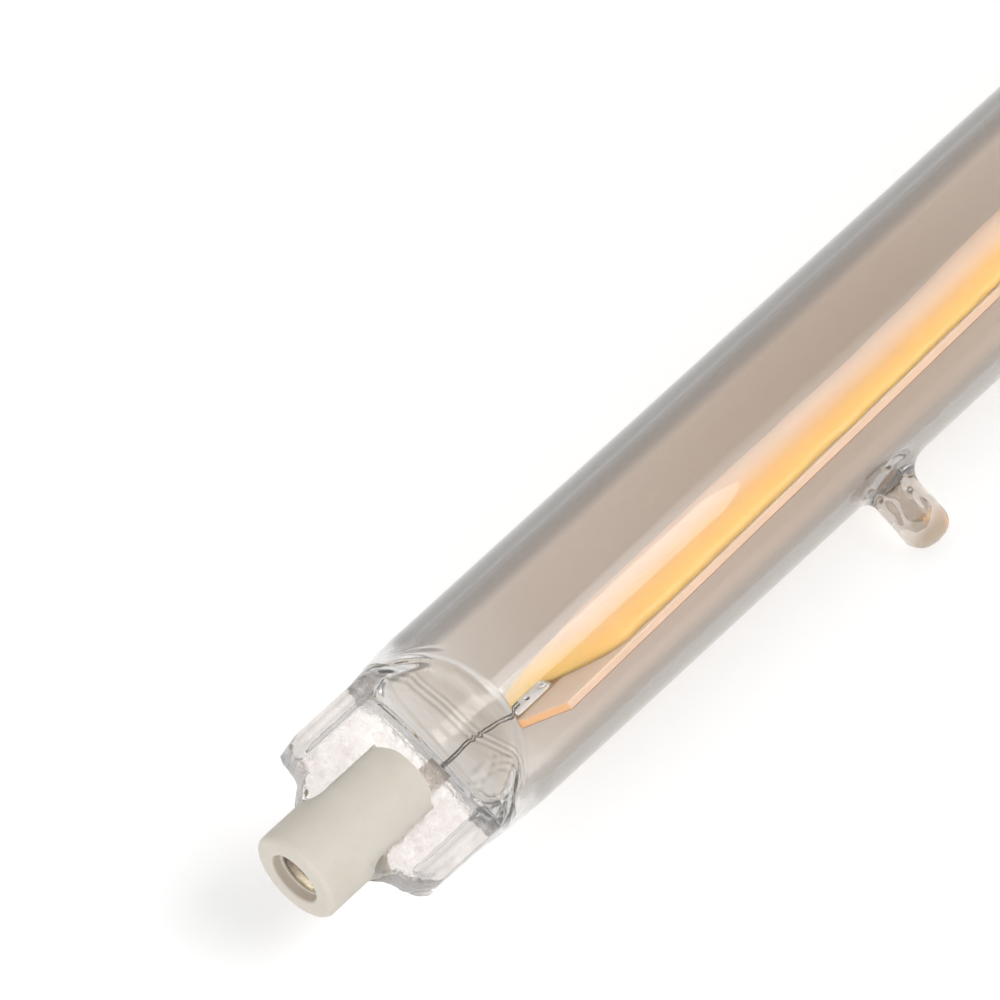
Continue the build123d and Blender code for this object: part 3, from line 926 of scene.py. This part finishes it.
# The gel's two edges across the strip and its height, by distance from the strip's end: it starts
# beside the terminal
GEL_START = 0.4
GEL_UPPER = eased([(0.4, 0.9), (0.9, 2.6), (2.0, 3.6), (4.0, 4.1), (12, 4.1), (36, 3.7), (60, 3.7)], 0.15)
GEL_LOWER = eased([
    (0.4, 0.8), (3.7, 0.7), (4.4, -0.2), (5.6, -1.8), (7.2, -3.6), (8.8, -4.35), (12, -4.5), (60, -4.5),
], 0.2)
GEL_HEIGHT = eased([
    (0.4, 0.0), (0.8, 0.35), (1.6, 0.6), (3.5, 0.9), (6.0, 1.4), (9.0, 1.85), (12, 2.0), (26, 1.95),
    (38, 1.65), (60, 1.65),
], 0.15)
# The gel's tones: a painted highlight makes its upper side peach, painted shade darkens its own deep yellow
# on the lower side, and a spot of painted shade marks its end
GEL_HIGHLIGHT_PEACH = srgb(250, 216, 188)
GEL_ORANGE = srgb(248, 204, 156)
GEL_SHADED_DEEP = srgb(242, 192, 112)
GEL_YELLOW = srgb(250, 208, 118)
GEL_SHADE_SPOT = srgb(246, 180, 78)


def gel_tone(share, distance):
    """Peach on the upper side as painted highlight, the deep yellow darker on the lower as painted shade,
    yellow near the end, and a warm spot of painted shade at the end.
    """
    tone = blend(GEL_HIGHLIGHT_PEACH, GEL_ORANGE, step_up(-share, -0.1, 0.85))
    tone = blend(tone, GEL_SHADED_DEEP, step_up(-share, 0.35, 0.95))
    tone = blend(tone, GEL_YELLOW, 0.6 * step_up(-distance, -9.0, -4.0))
    return blend(tone, GEL_SHADE_SPOT, hump(distance, 0.8, 0.6))


def gel_bead(material):
    """The long bead of gel: its lower edge wanders and its ends run out beside the terminals."""
    long = STRIP_HALF
    near = [np.linspace(GEL_START, 1.2, 12), np.linspace(1.3, 10, 45), np.linspace(10.6, long, 45)[:-1]]
    near = np.concatenate(near)
    places = np.concatenate([near - long, [0], (long - near)[::-1]])
    rows = np.linspace(-1, 1, 37)
    mesh = bmesh.new()
    layer = mesh.verts.layers.float_color.new("tint")
    grid = []
    for x in places:
        distance = long - abs(x)
        ragged = 0.16 * noise.noise(Vector((x / 3.1, 2.7, 0)))
        ragged = ragged + 0.07 * noise.noise(Vector((x / 1.1, 9.1, 0)))
        low = float(GEL_LOWER(distance)) + ragged * min(distance / 3, 1)
        high = float(GEL_UPPER(distance))
        tall = float(GEL_HEIGHT(distance)) * (1 + 0.05 * noise.noise(Vector((x / 4.3, 5.5, 0))))
        column = []
        for share in rows:
            across = (low + high) / 2 + share * (high - low) / 2
            crown = max(1 - abs(share) ** 2.1, 0) ** 0.58
            lump = 1 + 0.03 * noise.noise(Vector((x / 2.2, across / 1.7, 3.3)))
            vertex = mesh.verts.new((x, across, tall * crown * lump))
            vertex[layer] = (*gel_tone(share, distance), 1)
            column.append(vertex)
        grid.append(column)
    for first, second in zip(grid[:-1], grid[1:]):
        for i in range(len(rows) - 1):
            mesh.faces.new((first[i], second[i], second[i + 1], first[i + 1]))
    for first, second in zip(grid[:-1], grid[1:]):
        mesh.faces.new((first[-1], second[-1], second[0], first[0]))
    mesh.faces.new(grid[0])
    mesh.faces.new(list(reversed(grid[-1])))
    keep_on_strip(mesh, "phosphor_gel_poured", material, "phosphor", "phosphor_gel")


# The terminal: half sizes and corners of its tab, the tab's place from the strip's end and middle, the
# hole's place in the tab and its radius, the dark disc in the hole that paints its shade, and the ring beside
# it
TAB_LONG, TAB_WIDE, TAB_CORNER = 1.6, 0.62, 0.3
TAB_INSET, TERMINAL_Y = 0.6, 0.05
HOLE_X, HOLE_Y, HOLE_RADIUS = 0.1, -0.12, 0.28
HOLE_SHADE_RADIUS, HOLE_SHADE_TILT = 0.25, 0.216
RING_INSET, RING_Y, RING_RADIUS, RING_WIRE = 3.45, -0.35, 0.24, 0.075


def tab_rim():
    """The tab's outline, a rectangle with round corners, from its first corner round."""
    rim = []
    for first, way_x, way_y in ((0, 1, 1), (90, -1, 1), (180, -1, -1), (270, 1, -1)):
        for step in range(7):
            turn = math.radians(first + 15 * step)
            x = way_x * (TAB_LONG - TAB_CORNER) + TAB_CORNER * math.cos(turn)
            y = way_y * (TAB_WIDE - TAB_CORNER) + TAB_CORNER * math.sin(turn)
            rim.append((x, y))
    return rim


def tab_mesh(name, hole_x):
    """The flat tab with its hole and its rounded rim, as a bmesh about its own middle."""
    curve = bpy.data.curves.new(name + "_tab", "CURVE")
    curve.dimensions = "2D"
    curve.fill_mode = "BOTH"
    curve.extrude = 0.1
    curve.bevel_depth = 0.07
    curve.bevel_resolution = 3
    turns = np.linspace(0, -2 * np.pi, 24, endpoint=False)
    hole = [(hole_x + HOLE_RADIUS * math.cos(a), HOLE_Y + HOLE_RADIUS * math.sin(a)) for a in turns]
    for points in (tab_rim(), hole):
        spline = curve.splines.new("POLY")
        spline.points.add(len(points) - 1)
        for point, (x, y) in zip(spline.points, points):
            point.co = (x, y, 0, 1)
        spline.use_cyclic_u = True
    holder = show(name + "_tab", curve)
    data = bpy.data.meshes.new_from_object(holder)
    bpy.data.objects.remove(holder)
    mesh = bmesh.new()
    mesh.from_mesh(data)
    bmesh.ops.remove_doubles(mesh, verts=mesh.verts, dist=0.001)
    return mesh


def torus(mesh, centre, radius, wire, turn):
    """Adds a ring of round wire to a bmesh."""
    around, across = 24, 10
    rings = []
    for i in range(around):
        a = 2 * math.pi * i / around
        ring = []
        for j in range(across):
            b = 2 * math.pi * j / across
            out = radius + wire * math.cos(b)
            spot = Vector((out * math.cos(a), out * math.sin(a), wire * math.sin(b)))
            ring.append(mesh.verts.new(centre + turn @ spot))
        rings.append(ring)
    for first, second in zip(rings, shifted(rings)):
        for corners in zip(first, second, shifted(second), shifted(first)):
            mesh.faces.new(corners)


def terminal(side, material, hole_shade_material):
    """The soldered tab, pressed to a low crown, with its hole, a dark disc in the hole as painted shade, and
    the small ring at its inner end.
    """
    name = "near" if side < 0 else "far"
    tab_x = side * (STRIP_HALF - TAB_INSET - TAB_LONG)
    hole_x = side * HOLE_X
    mesh = tab_mesh(name, hole_x)
    for vertex in mesh.verts:
        x, y, z = vertex.co
        lift = 0.3 + 0.22 * y - 0.18 * (y / TAB_WIDE) ** 2
        vertex.co = (x + tab_x, y + TERMINAL_Y, z + lift)
    keep_on_strip(mesh, name + "_terminal_tab", material, "terminal_metal", name + "_terminal")
    # A dark disc inside the hole, painted as the shade in it
    mesh = bmesh.new()
    middle = Matrix.Translation((tab_x + hole_x, TERMINAL_Y + HOLE_Y, 0.2))
    middle = middle @ Matrix.Rotation(HOLE_SHADE_TILT, 4, "X")
    round_bar = {"radius1": HOLE_SHADE_RADIUS, "radius2": HOLE_SHADE_RADIUS, "depth": 0.1, "segments": 24}
    bmesh.ops.create_cone(mesh, cap_ends=True, matrix=middle, **round_bar)
    keep_on_strip(mesh, name + "_terminal_shade_disc", hole_shade_material, "terminal_metal", smooth=False)
    mesh = bmesh.new()
    centre = Vector((side * (STRIP_HALF - RING_INSET), RING_Y, 0.5))
    torus(mesh, centre, RING_RADIUS, RING_WIRE, Matrix.Rotation(math.radians(25), 3, "X"))
    keep_on_strip(mesh, name + "_terminal_ring", material, "terminal_metal")


# Floor, light and camera

FLOOR_HALF = 1.5
FLOOR_COLOUR = (0.82, 0.82, 0.82, 1)
# The floor glows by this much near the object and far from it, where the lamps reach it less
FLOOR_LIFT = 0.38
FLOOR_LIFT_FAR = 0.62
SKY_LEVEL = 0.5
# Each lamp stands off the object in its direction, and the softbox is then moved and turned a little
KEY_WAY = Vector((0.2, -0.62, 0.76))
KEY_POWER = 0.88
SOFTBOX_WAY = Vector((0.408, -0.4617, 0.787))
SOFTBOX_DISTANCE = 0.45
SOFTBOX_ACROSS = 0.36
SOFTBOX_ALONG = 0.19
SOFTBOX_SHIFT = Vector((-0.035, -0.025, -0.012))
SOFTBOX_TURN = math.radians(-40)
SOFTBOX_RADIANCE = 2.4
FILL_WAY = Vector((-1, -0.25, 0.22))
FILL_POWER = 1.1
LAMP_DISTANCE = 0.6


def seeing_rays(tree):
    """1 for a ray from the camera or through glass, and 1 for such a ray or a mirror reflection."""
    paths = tree.nodes.new("ShaderNodeLightPath").outputs
    straight = calculate(tree, "MAXIMUM", paths["Is Camera Ray"], paths["Is Transmission Ray"])
    return straight, calculate(tree, "MAXIMUM", straight, paths["Is Glossy Ray"])


def lay_floor():
    """A pale matt floor that glows a little where it is seen: it is white and keeps its shadow."""
    size = FLOOR_HALF
    mesh = bpy.data.meshes.new("floor")
    corners = [(-size, -size, 0), (size, -size, 0), (size, size, 0), (-size, size, 0)]
    mesh.from_pydata(corners, [], [(0, 1, 2, 3)])
    floor = show("floor", mesh)
    floor.location.z = FLOOR
    material, tree, shader, _ = new_material("floor_white")
    fix(shader, Base_Color=FLOOR_COLOUR, Roughness=1.0, Specular_IOR_Level=0.0, Emission_Color=(1, 1, 1, 1))
    way_out = add(tree, "ShaderNodeVectorMath", operation="LENGTH")
    join(place(tree), way_out.inputs[0])
    glow = spread(tree, way_out.outputs["Value"], FLOOR_LIFT, FLOOR_LIFT_FAR, 0.09, 0.5)
    lift = calculate(tree, "MULTIPLY", seeing_rays(tree)[1], glow)
    join(lift, shader.inputs["Emission Strength"])
    mesh.materials.append(material)


def studio():
    """A plain bright room, white where it is seen directly or through glass, softer in reflections."""
    world = bpy.data.worlds.new("studio")
    bpy.context.scene.world = world
    world.use_nodes = True
    tree = world.node_tree
    background = tree.nodes["Background"]
    fix(background, Color=(1, 1, 1, 1))
    way = tree.nodes.new("ShaderNodeTexCoord")
    low = spread(tree, split(tree, way.outputs["Generated"])["Z"], 1.0, 0.0, 0.1, 0.4)
    straight, seen = seeing_rays(tree)
    level = calculate(tree, "MULTIPLY", seen, calculate(tree, "MAXIMUM", straight, low))
    join(spread(tree, level, SKY_LEVEL, 1.0), background.inputs["Strength"])


def area_lamp(name, way, distance, size, power, top):
    """An area lamp facing the object; size is (width, height), and top is the way its height runs."""
    light = bpy.data.lights.new(name, "AREA")
    light.shape = "RECTANGLE"
    light.size, light.size_y = size
    light.energy = power
    lamp = show(name, light)
    back = way.normalized()
    up = (top - top.dot(back) * back).normalized()
    turn = Matrix((up.cross(back), up, back)).transposed().to_4x4()
    lamp.matrix_world = Matrix.Translation(back * distance) @ turn
    return lamp


def lamps():
    """A softbox that draws the long soft highlight, a key light of the same side and a weak fill."""
    along, upright = Vector((1, 0, 0)), Vector((0, 0, 1))
    key = area_lamp("key", KEY_WAY, LAMP_DISTANCE, (0.25, 0.25), KEY_POWER, along)
    key.visible_glossy = False
    power = SOFTBOX_RADIANCE * math.pi * SOFTBOX_ACROSS * SOFTBOX_ALONG
    size = (SOFTBOX_ACROSS, SOFTBOX_ALONG)
    softbox = area_lamp("softbox", SOFTBOX_WAY, SOFTBOX_DISTANCE, size, power, along)
    turn = Matrix.Rotation(SOFTBOX_TURN, 4, "Z")
    softbox.matrix_world = Matrix.Translation(SOFTBOX_SHIFT) @ softbox.matrix_world @ turn
    fill = area_lamp("fill", FILL_WAY, LAMP_DISTANCE, (0.4, 0.3), FILL_POWER, upright)
    fill.visible_glossy = False
    # The softbox fades toward both of its long sides and from one end to the other
    softbox.data.use_nodes = True
    tree = softbox.data.node_tree
    parts = split(tree, tree.nodes.new("ShaderNodeNewGeometry").outputs["Parametric"])
    rise = spread(tree, parts["X"], 0.0, 1.0, 0.0, 0.4)
    fade = spread(tree, parts["X"], 1.0, 0.0, 0.4, 1.0)
    lengthwise = spread(tree, parts["Y"], 1.8, 0.1, 0.0, 1.0)
    across = calculate(tree, "MULTIPLY", rise, fade)
    both = calculate(tree, "MULTIPLY", across, lengthwise)
    join(both, tree.nodes["Emission"].inputs["Strength"])


# The photograph's view: the picture's width, and where the near cap's face centre lands in it
PICTURE = 1000
FACE_COLUMN = 293.5
FACE_ROW = 879.5
CAMERA_RIGHT = Vector((0.676, -0.7325, -0.0795))
CAMERA_BACK = Vector((-0.408, -0.4617, 0.787))
CAMERA_DISTANCE = 0.8
VIEW_ANGLE = math.radians(4.8)


def camera():
    """A camera in the photograph's view."""
    right = CAMERA_RIGHT.normalized()
    back = (CAMERA_BACK - CAMERA_BACK.dot(right) * right).normalized()
    up = back.cross(right)
    focal = PICTURE / 2 / math.tan(VIEW_ANGLE / 2)
    per_pixel = CAMERA_DISTANCE / focal
    place_at = Vector((-HALF, 0, 0))
    place_at -= right * (FACE_COLUMN - PICTURE / 2) * per_pixel
    place_at -= up * (PICTURE / 2 - FACE_ROW) * per_pixel
    place_at += back * CAMERA_DISTANCE
    data = bpy.data.cameras.new("camera")
    data.sensor_fit = "HORIZONTAL"
    data.angle = VIEW_ANGLE
    data.clip_start = 0.05
    data.clip_end = 10
    lens = show("camera", data)
    lens.matrix_world = Matrix.Translation(place_at) @ Matrix((right, up, back)).transposed().to_4x4()
    bpy.context.scene.camera = lens


bpy.context.scene.view_settings.view_transform = "Standard"
lay_floor()
studio()
lamps()
camera()

ceramic = ceramic_material()
glass = glass_material()
nickel = contact_material()
wire = metal_material("lead_wire", srgb(142, 140, 136), rough=(0.18, 0.3), size=0.2 * MM)
cement = plain_material("cap_cement", srgb(214, 206, 192), srgb(232, 226, 214), size=1.1 * MM,
                        rough=(0.6, 0.85), relief=0.03 * MM, specular=0.3)
foil = metal_material("sealing_foil", srgb(176, 168, 160), rough=(0.25, 0.5), size=0.5 * MM)
copper = metal_material("track_metal", srgb(226, 196, 160), rough=(0.3, 0.5), size=0.4 * MM)
tin = metal_material("solder_tin", srgb(226, 224, 220), rough=(0.2, 0.4), size=0.5 * MM)
chip = plain_material("led_chip", srgb(232, 220, 170), srgb(246, 236, 196), size=0.5 * MM,
                      rough=(0.2, 0.35), relief=0.004 * MM)
black = plain_material("moulded_black", srgb(34, 34, 36), srgb(46, 46, 48), size=0.6 * MM,
                       rough=(0.45, 0.65), relief=0.01 * MM)
body = plain_material("resistor_body", srgb(28, 30, 34), srgb(44, 46, 50), size=0.5 * MM,
                      rough=(0.3, 0.5), relief=0.006 * MM)
at_both_ends = {"ceramic_cap": ceramic, "contact": nickel, "cap_cement": cement, "sealing_foil": foil,
                "track": copper, "solder": tin, "outer_lead": wire, "inner_lead": wire}
for part, material in at_both_ends.items():
    paint("near_" + part, material)
    paint("far_" + part, material)
paint("led_chips", chip)
paint("rectifier", black)
paint("driver_chip", black)
paint("limit_resistor", body)
glass_envelope(glass)
strip_stuff = tinted_material("strip_board_stuff", rough=(0.35, 0.5), size=1.4 * MM, soft=0.3,
                              reach=(0.8 * MM, 0.5 * MM, 0.3 * MM), relief=0.004 * MM)
gel_stuff = tinted_material("gel_stuff", rough=(0.32, 0.45), size=2.6 * MM, soft=0.6,
                            reach=(1.2 * MM, 0.7 * MM, 0.3 * MM), relief=0.03 * MM)
silver = metal_material("terminal_silver", srgb(246, 244, 242), rough=(0.3, 0.5), size=0.35 * MM,
                        metallic=0.5)
# Dark metal that paints the shade inside the terminals' holes
shade = metal_material("painted_hole_shade", srgb(84, 80, 76), rough=(0.5, 0.7), size=0.2 * MM)
strip_board(strip_stuff)
gel_bead(gel_stuff)
for end in (-1, 1):
    terminal(end, silver, shade)
